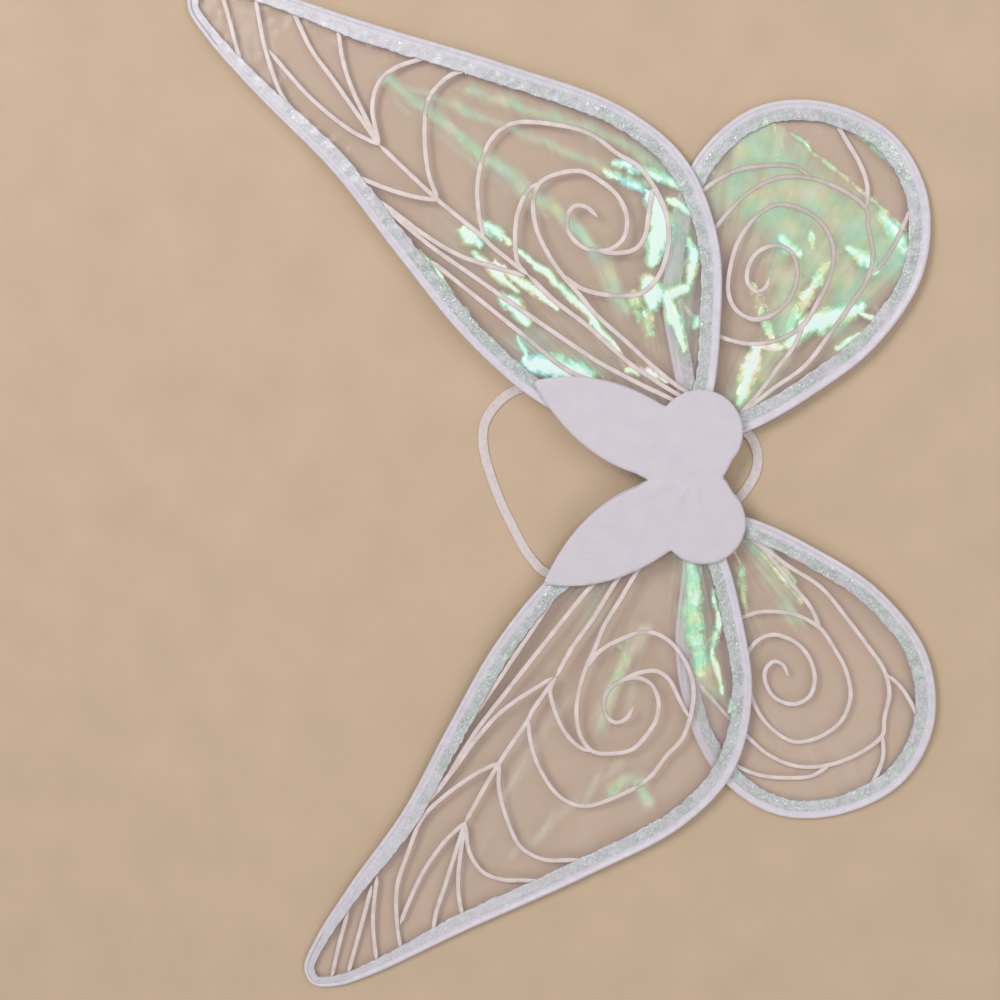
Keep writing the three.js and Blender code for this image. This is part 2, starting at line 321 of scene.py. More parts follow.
def film_material():
    n = Nodes("film_with_painted_glints_and_sheen")
    painted_glint, painted_sheen, hue = n.attribute("painted_glint"), n.attribute("painted_sheen"), n.attribute("hue")
    along, across = n.attribute("along"), n.attribute("across")
    ragged = n.noise(2.6, 3, 0.6, n.vector(n.times(along, 0.40), across))
    facet = n.cell_tone(4.5, n.warped(2.5, 5))
    drawn_out = n.vector(n.times(along, 0.012), n.times(across, 0.30))
    sheen_streaks = n.noise(1.0, 2, 0.5, drawn_out)
    cloud = n.noise(16, 2)
    # Edge: how strongly a painted glint lies here, made ragged at its rim.
    edge = n.plus(painted_glint, n.times(n.math("SUBTRACT", ragged, 0.5), 0.75))
    edge = n.plus(edge, n.times(n.math("SUBTRACT", facet, 0.5), 0.35))
    fine = n.noise(1.1, 2, 0.5, n.vector(n.times(along, 0.25), across))
    edge = n.plus(edge, n.times(n.math("SUBTRACT", fine, 0.5), 0.30))
    edge = n.times(edge, n.ramp(painted_glint, (0.04, 0.0), (0.22, 1.0)))
    # Halo, middle and core are the rings of a painted glint, from its soft coloured rim to its white centre.
    halo = n.ramp(edge, (0.08, 0.0), (0.40, 1.0))
    middle = n.ramp(edge, (0.30, 0.0), (0.52, 1.0))
    core = n.ramp(edge, (0.56, 0.0), (0.74, 1.0))
    # Painted sheen broken into long streaks, like light reflected off a satin-like film.
    gaps = n.times(n.ramp(sheen_streaks, (0.38, 1.0), (0.64, 0.0)), n.math("SUBTRACT", 1.12, painted_sheen))
    lines = n.times(painted_sheen, n.math("SUBTRACT", 1.0, gaps))
    lines = n.times(lines, n.ramp(cloud, (0.30, 0.65), (0.65, 1.0)))
    # The hue of the painted glints and painted sheen, taken from the crease and band lists.
    shade = n.plus(hue, n.times(n.math("SUBTRACT", n.noise(15, 2), 0.5), 1.3))
    rainbow = n.ramp(
        shade,
        (0.00, (0.84, 0.62, 0.74)),
        (0.22, (0.80, 0.80, 0.46)),
        (0.42, (0.52, 0.82, 0.46)),
        (0.68, (0.38, 0.84, 0.62)),
        (1.00, (0.44, 0.82, 0.88)),
    )
    # The colour of the painted sheen, laid over the film's own lilac tint.
    sheen_colour = n.mix(n.ramp(n.noise(7, 2), (0.35, 0.15), (0.70, 0.60)), rainbow, (0.80, 0.88, 0.76))
    veil = n.mix(n.times(lines, 1.6, clamp=True), (0.74, 0.58, 0.62), sheen_colour)
    veil = n.mix(halo, veil, rainbow)
    # A painted white highlight at the core of each painted glint.
    colour = n.mix(n.times(core, 0.85), veil, (0.84, 0.96, 0.91))
    # Alpha: the film's own see-through tint, made more opaque where painted sheen and painted glints lie.
    alpha = n.plus(n.times(lines, 0.58), 0.17)
    alpha = n.plus(alpha, n.times(halo, 0.26))
    alpha = n.plus(alpha, n.times(middle, 0.30))
    alpha = n.plus(alpha, n.times(core, 0.45), clamp=True)
    n.set(
        Base_Color=colour,
        Alpha=alpha,
        Roughness=0.12,
        Coat_Weight=0.6,
        Normal=n.bump(n.noise(2.4, 2, 0.5), 0.25, 0.7),
    )
    n.shader.inputs["Coat Roughness"].default_value = 0.05
    return n.material


def hem_material():
    n = Nodes("glitter_hem")
    inner = n.attribute("inner")
    tone = n.add("ShaderNodeSeparateColor")
    n.put(tone.inputs[0], n.cell_colour(0.7))
    patchy = n.ramp(n.noise(12, 3), (0.32, 0.25), (0.56, 1.0))
    speckle = n.ramp(
        tone.outputs[0],
        (0.0, (0.55, 0.53, 0.57)),
        (0.50, (0.64, 0.63, 0.65)),
        (0.82, (0.72, 0.78, 0.74)),
        (0.93, (0.95, 1.0, 0.97)),
    )
    cloth = n.ramp(n.noise(5, 3), (0.3, (0.66, 0.60, 0.67)), (0.7, (0.74, 0.69, 0.74)))
    tinted = n.mix(n.ramp(n.noise(8, 2), (0.42, 0.0), (0.66, 0.55)), speckle, (0.60, 0.76, 0.62))
    inside = n.times(inner, patchy)
    lengthwise = n.vector(n.times(n.attribute("run"), 0.06), n.attribute("depth"))
    streaks = n.noise(1.0, 3, 0.6, lengthwise)
    lifted = n.plus(n.times(tone.outputs[2], inside), n.times(streaks, 1.5))
    thin = n.ramp(n.noise(6, 2), (0.3, 0.10), (0.7, 0.34))
    n.set(
        Base_Color=n.mix(inside, cloth, tinted),
        Roughness=n.ramp(tone.outputs[1], (0.0, 0.22), (1.0, 0.5)),
        Metallic=n.times(inside, 0.25),
        Alpha=n.math("SUBTRACT", 0.96, n.times(inner, thin)),
        Normal=n.bump(lifted, 0.22, 0.8),
    )
    return n.material


def glitter_material():
    n = Nodes("glitter_flakes")
    colour = n.ramp(
        n.attribute("tone"),
        (0.0, (0.90, 0.97, 0.95)),
        (0.35, (0.55, 0.90, 0.70)),
        (0.55, (0.95, 0.92, 0.75)),
        (0.75, (0.90, 0.70, 0.85)),
        (1.0, (0.70, 0.85, 0.98)),
    )
    n.set(Base_Color=colour, Metallic=0.15, Roughness=0.2)
    return n.material


def vein_material():
    n = Nodes("printed_vein")
    mottle = n.noise(7, 3)
    n.set(
        Base_Color=n.ramp(mottle, (0.3, (0.75, 0.62, 0.585)), (0.7, (0.82, 0.70, 0.67))),
        Roughness=n.ramp(n.noise(0.8, 2), (0.3, 0.38), (0.7, 0.5)),
        Normal=n.bump(n.noise(0.7, 2), 0.03, 0.5),
        # The print fades where painted sheen lies over it.
        Alpha=n.times(
            n.ramp(mottle, (0.25, 0.80), (0.6, 0.92)),
            n.math("SUBTRACT", 1.0, n.times(n.attribute("under_painted_sheen"), 0.55)),
        ),
    )
    return n.material


def felt_material():
    n = Nodes("felt")
    fibres = n.noise(0.35, 5, 0.7, distortion=1.5)
    cloud = n.noise(11, 3)
    n.set(
        Base_Color=n.mix(
            n.ramp(fibres, (0.35, 0.0), (0.65, 1.0)),
            n.ramp(cloud, (0.3, (0.565, 0.505, 0.555)), (0.7, (0.625, 0.565, 0.61))),
            (0.70, 0.64, 0.685),
        ),
        Roughness=0.95,
        Normal=n.bump(n.plus(fibres, n.noise(1.3, 3)), 0.18, 0.8),
    )
    n.shader.inputs["Sheen Weight"].default_value = 0.35
    n.shader.inputs["Sheen Roughness"].default_value = 0.6
    n.shader.inputs["Sheen Tint"].default_value = (0.9, 0.86, 0.92, 1)
    return n.material


def elastic_material():
    n = Nodes("woven_elastic")
    along, across = n.attribute("along"), n.attribute("across")
    ribs = n.math("SINE", n.times(across, 2 * math.pi / 0.62))
    picks = n.math("SINE", n.times(along, 2 * math.pi / 0.55))
    weave = n.times(ribs, picks)
    n.set(
        Base_Color=n.ramp(n.noise(2.0, 3), (0.3, (0.70, 0.60, 0.58)), (0.7, (0.80, 0.71, 0.69))),
        Roughness=0.8,
        Normal=n.bump(n.plus(ribs, n.times(weave, 0.6)), 0.09, 0.8),
    )
    return n.material


def thread_material():
    n = Nodes("sewing_thread")
    ply = n.math("SINE", n.times(n.attribute("along"), 2 * math.pi / 0.5))
    n.set(
        Base_Color=n.ramp(n.noise(1.0, 2), (0.3, (0.74, 0.71, 0.70)), (0.7, (0.84, 0.81, 0.79))),
        Roughness=0.6,
        Normal=n.bump(ply, 0.06, 0.7),
    )
    return n.material


def tape_material():
    n = Nodes("wrap_tape")
    n.set(
        Base_Color=n.ramp(n.noise(3, 3), (0.3, (0.74, 0.73, 0.71)), (0.7, (0.83, 0.82, 0.80))),
        Roughness=n.ramp(n.noise(1.2, 2), (0.3, 0.45), (0.7, 0.7)),
        Normal=n.bump(n.noise(0.8, 4, 0.65), 0.08, 0.7),
    )
    return n.material


def wire_material():
    n = Nodes("steel_wire")
    n.set(
        Base_Color=n.ramp(n.noise(1.5, 4), (0.3, (0.40, 0.40, 0.41)), (0.7, (0.58, 0.58, 0.60))),
        Metallic=1.0,
        Roughness=n.ramp(n.noise(0.6, 3), (0.3, 0.25), (0.7, 0.42)),
        Normal=n.bump(n.noise(0.5, 2), 0.02, 0.6),
    )
    return n.material


FILM = film_material()
HEM = hem_material()
GLITTER = glitter_material()
VEIN = vein_material()
FELT = felt_material()
ELASTIC = elastic_material()
THREAD = thread_material()
TAPE = tape_material()
WIRE = wire_material()

# ---- Arm straps: flat elastic, sewn on at both ends ---------------------------------------
SLOPE = math.tan(math.radians(1.67))
FLAT_HALF = 4
STRAP_WIDTH, STRAP_THICKNESS, SEWN_GAP = 5.5, 0.8, 0.3
STRAP_ROUTES = {
    "left": [
        (-57, 69, 1), (-57, 77, 0.9), (-53, 86, 0.5), (-46, 92, 0.15), (-38, 97, 0), (-27, 102, 0),
        (-13, 108, 0), (2, 113, 0), (20, 117, 0), (34, 116, 0), (45, 109, 0), (53, 98, 0),
        (56, 84, 0), (55, 70, 0), (53, 56, 0), (48, 43, 0), (41, 30, 0), (32, 19, 0), (20, 9, 0),
        (6, -1, 0.1), (-8, -11, 0.45), (-19, -19, 0.95), (-28, -25, 1),
    ],
    "right": [
        (32, -23, 1), (28, -30, 0.9), (22, -37, 0.35), (12, -41, 0), (1, -40, 0), (-8, -35, 0),
        (-16, -28, 0), (-25, -19, 0), (-33, -9, 0), (-38, 4, 0), (-35, 17, 0), (-26, 26, 0),
        (-14, 25, 0), (-4, 17, 0), (6, 13, 0), (15, 17, 0), (22, 28, 0), (28, 42, 0.2),
        (37, 57, 0.9), (46, 71, 1),
    ],
}


def droop(x):
    """How far the wings have sunk towards the floor, outside the flat strip on the crease."""
    return SLOPE * np.maximum(0, np.abs(x) - FLAT_HALF)


def strap_line(route):
    """The route at the CAD's levels: 0 lies on the floor and 1 is sewn under a pad."""
    points = np.array(route, float)
    resting = FLOOR_Z / MM + STRAP_THICKNESS / 2
    sewn = -droop(points[:, 0]) - SEWN_GAP - STRAP_THICKNESS / 2
    points[:, 2] = resting + (sewn - resting) * points[:, 2]
    return spaced(catmull_rom(points, 12), 1.0)


def make_strap(side):
    line = strap_line(STRAP_ROUTES[side])
    inward = side_normals(line[:, :2])
    half, thick, corner = STRAP_WIDTH / 2, STRAP_THICKNESS / 2, 0.25
    top = [(-half + corner * 0.3, thick - corner * 0.3), (-half + corner, thick)]
    top += [(u, thick) for u in np.linspace(-half + 0.8, half - 0.8, 7)]
    top += [(half - corner, thick), (half - corner * 0.3, thick - corner * 0.3)]
    section = [(-half, 0)] + top + [(half, 0)] + [(u, -v) for u, v in reversed(top)]
    u = np.array([s[0] for s in section])
    v = np.array([s[1] for s in section])
    along = travelled(line)
    wave = 0.10 * noise_along(along, 9, 3)[:, None] * (u / half)[None, :]
    x = line[:, 0:1] + inward[:, 0:1] * u
    y = line[:, 1:2] + inward[:, 1:2] * u
    z = line[:, 2:3] + v[None, :] + wave * 0.5
    points = np.stack([x, y, z], axis=2).reshape(-1, 3)
    rows, columns = len(line), len(section)
    faces = grid_faces(rows, columns, closed=True)
    faces += end_caps(rows, columns)
    made = make_object(
        f"elastic_strap_{side}",
        points,
        faces,
        ELASTIC,
        {"along": np.repeat(along, columns), "across": np.tile(u, rows)},
    )
    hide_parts(f"arm_strap_{side}")
    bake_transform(made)


for side in ("left", "right"):
    make_strap(side)

# ---- Wing outlines ------------------------------------------------------------------------
SIDES = {"left": -1, "right": 1}
BEAD_INNER, BEAD_RADIUS = 1.15, 1.5
HEM_WIDTH, HEM_TIP_WIDTH = 10, 5.5
LEAF_INNER, LEAF_OUTER = 0.5, 0.85
UPPER_TURN = math.radians(2.4)
UPPER_ROUTE = [
    (5.5, 4), (15, 4), (22, 15), (34, 47), (52, 80), (90, 117), (141, 152), (192, 185),
    (240, 225), (276, 252), (294, 261), (304, 257), (305, 243), (299, 222), (270, 156),
    (238, 80), (208, 19), (176, -13), (130, -27), (80, -24), (48, -18), (28, -10), (15, -4),
    (5.5, -4),
]
LOWER_ROUTE = [
    (5.5, 4), (15, 4), (30, 1), (52, 2), (100, 8), (145, 2), (180, -15), (202, -45),
    (203, -80), (184, -117), (150, -135), (108, -132), (70, -106), (44, -70), (28, -40),
    (20, -15), (15, -4), (5.5, -4),
]
WINGS = {
    "lower": dict(route=LOWER_ROUTE, level=3.3, turn=0.0, tip=None, hem=(30, 26), far=9.5 / 17),
    "upper": dict(route=UPPER_ROUTE, level=6.6, turn=UPPER_TURN, tip=10.4 / 23, hem=(62, 30), far=10.4 / 23),
}


def placed(points, side, wing):
    """Points of a right wing in its own plane, at their place on one side."""
    x, y, z = np.asarray(points, float).T
    angle = wing["turn"] * smooth(np.hypot(x, y), 18, 55)
    x = x * SIDES[side]
    turned = x * np.cos(angle) - y * np.sin(angle)
    level = z + wing["level"] - droop(turned)
    return np.stack([turned, x * np.sin(angle) + y * np.cos(angle), level], axis=1)


def set_up(wing):
    per_span = 24
    line = catmull_rom(wing["route"], per_span)
    along = travelled(line)
    spans = len(wing["route"]) - 1
    wing["far_at"] = along[int(round(wing["far"] * spans * per_span))]
    wing["total"] = along[-1]
    wing["line"] = spaced(line, 1.2)
    wing["along"] = travelled(wing["line"])
    wing["inward"] = side_normals(wing["line"])
    width = np.ones(len(wing["line"]))
    if wing["tip"] is not None:
        narrow = HEM_TIP_WIDTH / HEM_WIDTH
        from_tip = np.abs(wing["along"] - wing["far_at"])
        width = narrow + (1 - narrow) * smooth(from_tip, 0.01 * wing["total"], 0.16 * wing["total"])
    wing["width"] = width
    wing["coarse"] = spaced(wing["line"], 6)


def has_hem(wing, spare=0):
    """Which points of a wing's line carry a hem, leaving some spare at both ends."""
    start, end = wing["hem"]
    return (wing["along"] > start + spare) & (wing["along"] < wing["total"] - end - spare)


for wing in WINGS.values():
    set_up(wing)

# ---- Creases of the film ------------------------------------------------------------------
# Each is a line across a right wing in its own plane, with its half width, its height, how
# bright the highlight painted along it is and the hue of that painted highlight.
CREASES = {
    ("upper", "right"): [
        ([(158, 8), (150, 3), (136, 4), (124, 9)], 6.5, 0.8, 1.0, 0.6),
        ([(114, 14), (106, 11), (99, 11)], 6.5, 0.7, 1.0, 0.7),
        ([(157, -2), (150, -12), (144, -17)], 2.3, 0.5, 0.9, 0.5),
        ([(133, -13), (121, -14), (110, -11)], 3.8, 0.6, 0.9, 0.5),
        ([(107, -9), (106, -2), (103, 3), (88, -2), (74, -6)], 3.8, 0.8, 1.0, 0.6),
        ([(90, -13), (86, -12)], 3.2, 0.4, 0.8, 0.8),
        ([(180, 26), (172, 6), (161, -12)], 3.2, 0.5, 0.75, 0.9),
        ([(176, 31), (169, 20), (161, 9)], 3.2, 0.5, 0.7, 0.9),
        ([(152, 115), (143, 107)], 5.2, 0.6, 0.9, 0.4),
        ([(155, 104), (142, 90)], 3.5, 0.5, 0.85, 0.6),
        ([(138, 110), (126, 98), (114, 87)], 2.9, 0.6, 0.9, 0.4),
        ([(132, 98), (118, 82), (103, 66)], 2.9, 0.6, 0.95, 0.3),
        ([(138, 86), (122, 68), (99, 48), (85, 39), (72, 31)], 2.5, 0.7, 0.9, 0.5),
        ([(113, 97), (104, 88), (96, 83)], 4.9, 0.7, 0.9, 0.8),
        ([(89, 88), (81, 87), (74, 84)], 1.7, 0.5, 0.8, 0.4),
        ([(74, 84), (69, 68), (63, 50)], 7.2, 0.8, 0.95, 1.0),
        ([(143, 140), (128, 131), (105, 116)], 1.4, 0.4, 0.75, 0.5),
        ([(106, 22), (94, 17), (82, 13)], 4.9, 0.6, 0.6, 0.35),
        ([(65, 28), (63, 18), (56, 7)], 3.2, 0.6, 0.8, 0.2),
    ],
    ("lower", "right"): [
        ([(132, -58), (122, -66)], 3.8, 0.5, 0.9, 0.6),
        ([(135, -73), (126, -74)], 2.3, 0.4, 0.6, 0.3),
        ([(124, -94), (118, -102), (111, -108)], 4.3, 0.5, 0.75, 0.7),
        ([(142, -111), (130, -119), (118, -125)], 4.3, 0.5, 0.8, 0.9),
        ([(73, -60), (82, -70), (86, -84), (91, -98)], 6.7, 0.9, 1.0, 0.6),
        ([(88, -98), (84, -106), (81, -113)], 1.9, 0.5, 0.9, 0.5),
        ([(70, -86), (75, -98), (79, -108)], 2.0, 0.5, 0.9, 0.6),
        ([(72, -42), (58, -37), (42, -32)], 4.6, 0.9, 0.95, 0.4),
        ([(73, -40), (74, -48), (72, -55)], 3.5, 0.6, 0.9, 0.4),
        ([(78, -58), (97, -69), (116, -81)], 4.9, 0.7, 0.55, 0.35),
        ([(107, -39), (93, -45), (78, -50)], 4.1, 0.6, 0.45, 0.3),
        ([(132, -125), (158, -97), (189, -63)], 1.5, 0.5, 0.42, 0.45),
        ([(168, -118), (186, -100), (192, -88)], 2.4, 0.4, 0.42, 0.60),
    ],
    ("upper", "left"): [
        ([(50, 0), (70, 1), (92, 2), (114, 0)], 5.2, 0.7, 0.62, 0.5),
        ([(66, -10), (84, -12), (102, -8), (128, -11)], 2.2, 0.7, 0.8, 0.35),
        ([(96, 46), (106, 43), (118, 49)], 4.3, 0.5, 0.20, 0.32),
        ([(188, 57), (180, 42), (173, 34)], 4.9, 0.5, 0.20, 0.32),
        ([(102, 115), (86, 104), (70, 91)], 1.7, 0.4, 0.7, 0.25),
        ([(140, -14), (132, -17)], 2.3, 0.5, 0.7, 0.4),
    ],
    ("lower", "left"): [
        ([(32, -33), (50, -49), (74, -64)], 3.8, 0.8, 0.55, 0.45),
        ([(44, -26), (60, -30), (82, -31)], 2.6, 0.6, 0.42, 0.45),
    ],
}

# Broad soft bands of painted sheen, reflected light painted into the film's colour: line, half width,
# strength and hue.
PAINTED_SHEEN_BANDS = {
    ("upper", "right"): [
        ([(240, 150), (221, 129), (180, 87), (142, 47), (98, 25)], 5.5, 0.95, 0.55),
        ([(236, 142), (201, 75), (176, 29), (164, 5)], 3.5, 0.75, 0.50),
        ([(228, 103), (201, 42), (177, 4), (162, -13)], 4.5, 0.85, 0.50),
        ([(229, 147), (196, 112), (155, 67)], 3.5, 0.50, 0.45),
        ([(150, -8), (120, -6), (80, -6)], 18, 0.60, 0.60),
        ([(150, 110), (100, 62), (60, 22)], 16, 0.42, 0.35),
        ([(84, 84), (66, 48)], 12, 0.75, 0.80),
    ],
    ("lower", "right"): [
        ([(185, -45), (160, -66), (135, -98), (118, -118)], 25, 1.0, 0.50),
        ([(160, -35), (132, -66), (104, -92)], 25, 0.95, 0.42),
        ([(110, -60), (80, -55), (45, -34)], 12, 0.95, 0.28),
        ([(95, -85), (78, -88)], 15, 0.80, 0.40),
        ([(180, -90), (160, -105)], 12, 0.45, 0.05),
    ],
    ("upper", "left"): [
        ([(50, 2), (90, 2), (125, -4)], 9, 0.90, 0.50),
        ([(60, 60), (95, 50), (125, 40)], 16, 0.40, 0.33),
        ([(88, 32), (109, 46), (145, 61)], 5.5, 0.90, 0.30),
        ([(185, 57), (177, 45), (192, 38)], 5.0, 0.95, 0.30),
        ([(111, 62), (135, 86), (188, 125)], 5.0, 0.50, 0.15),
        ([(168, 51), (201, 92), (223, 120)], 5.0, 0.50, 0.12),
        ([(245, 160), (200, 130), (150, 105)], 9, 0.35, 0.10),
    ],
    ("lower", "left"): [
        ([(30, -30), (55, -46), (85, -60)], 8, 0.75, 0.45),
        ([(60, -24), (95, -30)], 10, 0.45, 0.40),
        ([(150, -50), (170, -85)], 16, 0.25, 0.10),
    ],
}


# The painted sheen fades out beyond this line, on its right-hand side as it runs, and the film is clear
# there.
CLEAR_PAST = {("lower", "right"): ((189, -63), (132, -125))}


def clear_share(name, side, points):
    if (name, side) not in CLEAR_PAST:
        return np.zeros(len(points))
    start, end = (np.array(p, float) for p in CLEAR_PAST[name, side])
    run = (end - start) / np.linalg.norm(end - start)
    offset = points - start
    return smooth(run[0] * offset[:, 1] - run[1] * offset[:, 0], -2, 3)


def film_field(name, side, points):
    """What the film does at points of its own plane: its height, and where glints and sheen are painted on
    it, with their hue.
    """
    wing = WINGS[name]
    from_edge, along = nearest_on(wing["coarse"], points)
    rim = smooth(from_edge, 1.4, 7)
    x, y = points.T
    reach, bearing = np.hypot(x, y), np.degrees(np.arctan2(y, x))
    near = np.exp(-np.maximum(0, reach - 40) / 60)
    shift = {"left": 0, "right": 9}[side] + {"lower": 0, "upper": 4}[name]
    height = 0.45 * noise(bearing * 2.2, reach / 9, 9, 1 + shift)
    height += 0.22 * noise(bearing * 2.2, reach / 6, 4, 2 + shift)
    height += 0.50 * near * np.maximum(0, ridges(x + y, x - y, 13, 3 + shift))
    pucker = np.exp(-np.maximum(0, from_edge - 9) / 7) * noise(along, from_edge, 5, 5 + shift)
    height += 0.40 * pucker
    painted_glint = np.zeros(len(points))
    painted_sheen = np.zeros(len(points))
    hue = np.full(len(points), 0.35)
    wobble = np.stack([noise(x, y, 9, 6 + shift), noise(x, y, 9, 7 + shift)], axis=1)
    # Each crease lifts the film and paints a glint along its ridge.
    for line, half, rise, painted_glint_strength, tint in CREASES[name, side]:
        path = spaced(catmull_rom(line, 6), 2.0)
        away, at = nearest_on(path, points + 1.3 * wobble)
        end = travelled(path)[-1]
        taper = 0.55 + 0.45 * np.sin(np.pi * np.clip(at / end, 0, 1))
        fold = np.exp(-((away / (half * taper)) ** 2))
        height += rise * fold
        painted_glint = np.maximum(painted_glint, painted_glint_strength * fold)
        hue += (tint - hue) * fold
    # Each band paints a soft sheen of reflected light and turns its hue.
    for line, half, strength, tint in PAINTED_SHEEN_BANDS[name, side]:
        away, _ = nearest_on(spaced(catmull_rom(line, 6), 4.0), points + min(4, 0.3 * half) * wobble)
        soft = np.exp(-((away / half) ** 2))
        painted_sheen = np.maximum(painted_sheen, strength * soft)
        hue += (tint - hue) * soft * 0.6
    painted_sheen *= 1 - 0.85 * clear_share(name, side, points)
    # Small scattered painted glints, added to the painted sheen.
    glint = np.maximum(0, ridges(bearing * 1.6, reach / 7, 6, 8 + shift) - 0.75) * 4
    painted_sheen += 0.10 * glint * (0.3 + near)
    # Painted glints fade out near the hem.
    painted_glint *= rim
    return dict(
        height=1.15 * np.tanh(height / 1.15) * rim,
        painted_glint=painted_glint,
        painted_sheen=painted_sheen,
        hue=hue,
        along=reach,
        across=bearing * 1.6,
    )


# ---- Film panels --------------------------------------------------------------------------
FILM_CLEARANCE = 0.6
FILM_COLUMNS = 140


def make_film(name, side):
    wing = WINGS[name]
    inside = has_hem(wing)
    edge = wing["line"] + wing["inward"] * (BEAD_INNER + FILM_CLEARANCE)
    before = spaced(edge[inside & (wing["along"] <= wing["far_at"])], 1)
    after = spaced(edge[inside & (wing["along"] >= wing["far_at"])][::-1], 1)
    rows = int(travelled(before)[-1])
    at = np.linspace(0, 1, rows)
    ends = [
        np.stack([np.interp(at, np.linspace(0, 1, len(s)), c) for c in s.T], axis=1)
        for s in (before, after)
    ]
    t = np.linspace(0, 1, FILM_COLUMNS)[None, :, None]
    flat = (ends[0][:, None, :] * (1 - t) + ends[1][:, None, :] * t).reshape(-1, 2)
    field = film_field(name, side, flat)
    height = field.pop("height")
    points = placed(np.column_stack([flat, height]), side, wing)
    faces = grid_faces(rows, FILM_COLUMNS)
    made = make_object(f"film_panel_{name}_{side}", points, faces, FILM, field)
    outline = np.vstack([before, after[::-1]])
    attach(made, f"{side}_wings")
    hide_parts(f"{name}_film_{side}")
    return made, outline, enclosed_area(outline)


# ---- Hems ---------------------------------------------------------------------------------
def hem_section():
    """A bead round the wire and a folded leaf either side of the film, as (inward, up)."""
    outer = math.asin(LEAF_OUTER / BEAD_RADIUS)
    inner = math.asin(LEAF_INNER / BEAD_INNER)
    ring = np.linspace(outer, 2 * math.pi - outer, 13)
    bead = [(BEAD_RADIUS * math.cos(a), BEAD_RADIUS * math.sin(a)) for a in ring]
    back = [
        (BEAD_INNER * math.cos(a), BEAD_INNER * math.sin(a))
        for a in np.linspace(2 * math.pi - inner, inner, 9)
    ]
    steps = np.concatenate([[2.1, 2.6, 3.1, 3.6], np.linspace(4.3, HEM_WIDTH, 8)])
    top = [(u, LEAF_OUTER) for u in steps[::-1]]
    under = [(u, -LEAF_OUTER) for u in steps]
    lining = [(u, -LEAF_INNER) for u in steps[::-1]]
    roof = [(u, LEAF_INNER) for u in steps]
    return np.array(top + bead + under + lining + back + roof)


FLAKES_PER_MM = 1.1


def flakes(name, side, count):
    """Glitter lying on the hem: small six-sided flakes, each at its own tilt."""
    wing = WINGS[name]
    inside = np.where(has_hem(wing, spare=1))[0]
    crowd = 0.12 + smooth(noise_along(wing["along"][inside], 26, 20 + SIDES[side]), -0.1, 0.6)
    crowd *= smooth(wing["width"][inside], 0.55, 0.95)
    pick = rng.choice(inside, count, p=crowd / crowd.sum())
    u = 2.6 + rng.rand(count) ** 0.8 * (HEM_WIDTH - 3.2) * wing["width"][pick]
    centre = wing["line"][pick] + wing["inward"][pick] * u[:, None] + rng.uniform(-0.6, 0.6, (count, 2))
    height = film_field(name, side, centre)["height"] + LEAF_OUTER + 0.12
    normal = np.column_stack([rng.normal(0, 0.32, (count, 2)), np.ones(count)])
    normal /= np.linalg.norm(normal, axis=1)[:, None]
    first = np.cross(normal, np.tile([0.0, 1.0, 0.0], (count, 1)))
    first /= np.linalg.norm(first, axis=1)[:, None]
    second = np.cross(normal, first)
    size = rng.uniform(0.16, 0.40, count)
    points = []
    middle = np.column_stack([centre, height])
    for k in range(6):
        a = k * math.pi / 3
        points.append(middle + size[:, None] * (first * math.cos(a) + second * math.sin(a)))
    points = np.stack(points, axis=1).reshape(-1, 3)
    faces = [tuple(range(6 * i, 6 * i + 6)) for i in range(count)]
    return placed(points, side, wing), faces, np.repeat(rng.rand(count), 6)


def make_hem(name, side):
    wing = WINGS[name]
    inside = has_hem(wing)
    line, inward, width = wing["line"][inside], wing["inward"][inside], wing["width"][inside]
    along = wing["along"][inside]
    section = hem_section()
    u, v = section[:, 0][None, :], section[:, 1][None, :]
    leaf = smooth(u, 2.0, 4.0)
    ragged = 1 + 0.05 * noise_along(along, 14, 21)[:, None] + 0.045 * noise_along(along, 2.6, 22)[:, None]
    reach = u * np.where(u > BEAD_RADIUS, width[:, None] * (1 + (ragged - 1) * leaf), 1)
    flat = line[:, None, :] + inward[:, None, :] * reach[:, :, None]
    height = film_field(name, side, flat.reshape(-1, 2))["height"].reshape(reach.shape)
    groove = 0.22 * np.exp(-(((u - 3.1) / 0.45) ** 2))
    crinkle = 0.22 * noise(along[:, None], u * 0.6, 2.3, 23) + 0.16 * noise(along[:, None], u, 1.9, 24)
    lift = np.sign(v) * (np.abs(crinkle) * leaf - groove)
    lump = 1 + 0.06 * noise(along[:, None], v * 2, 3.1, 25) * (1 - leaf)
    points = np.dstack([flat, v * lump + lift + height * leaf]).reshape(-1, 3)
    rows, columns = reach.shape
    faces = grid_faces(rows, columns, closed=True)
    faces += end_caps(rows, columns)
    points = placed(points, side, wing)
    count = int(FLAKES_PER_MM * along[-1])
    more, shapes, tone = flakes(name, side, count)
    start = len(points)
    points = np.vstack([points, more])
    body_faces = len(faces)
    faces += [tuple(start + k for k in shape) for shape in shapes]
    plain_tip = 1 - 0.7 * smooth(np.linalg.norm(line, axis=1), 190, 300)[:, None]
    inner = np.concatenate([(smooth(u, 2.6, 4.0) * plain_tip).reshape(-1), np.ones(len(more))])
    spare = np.zeros(len(more))
    depth = np.concatenate([reach.reshape(-1), spare])
    run = np.concatenate([np.repeat(along, columns), spare])
    made = make_object(
        f"hem_band_{name}_{side}",
        points,
        faces,
        HEM,
        {"inner": inner, "depth": depth, "run": run, "tone": np.concatenate([np.zeros(start), tone])},
    )
    made.data.materials.append(GLITTER)
    slots = [0] * body_faces + [1] * len(shapes)
    made.data.polygons.foreach_set("material_index", slots)
    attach(made, f"{side}_wings")
    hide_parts(f"{name}_hem_{side}")
    return made


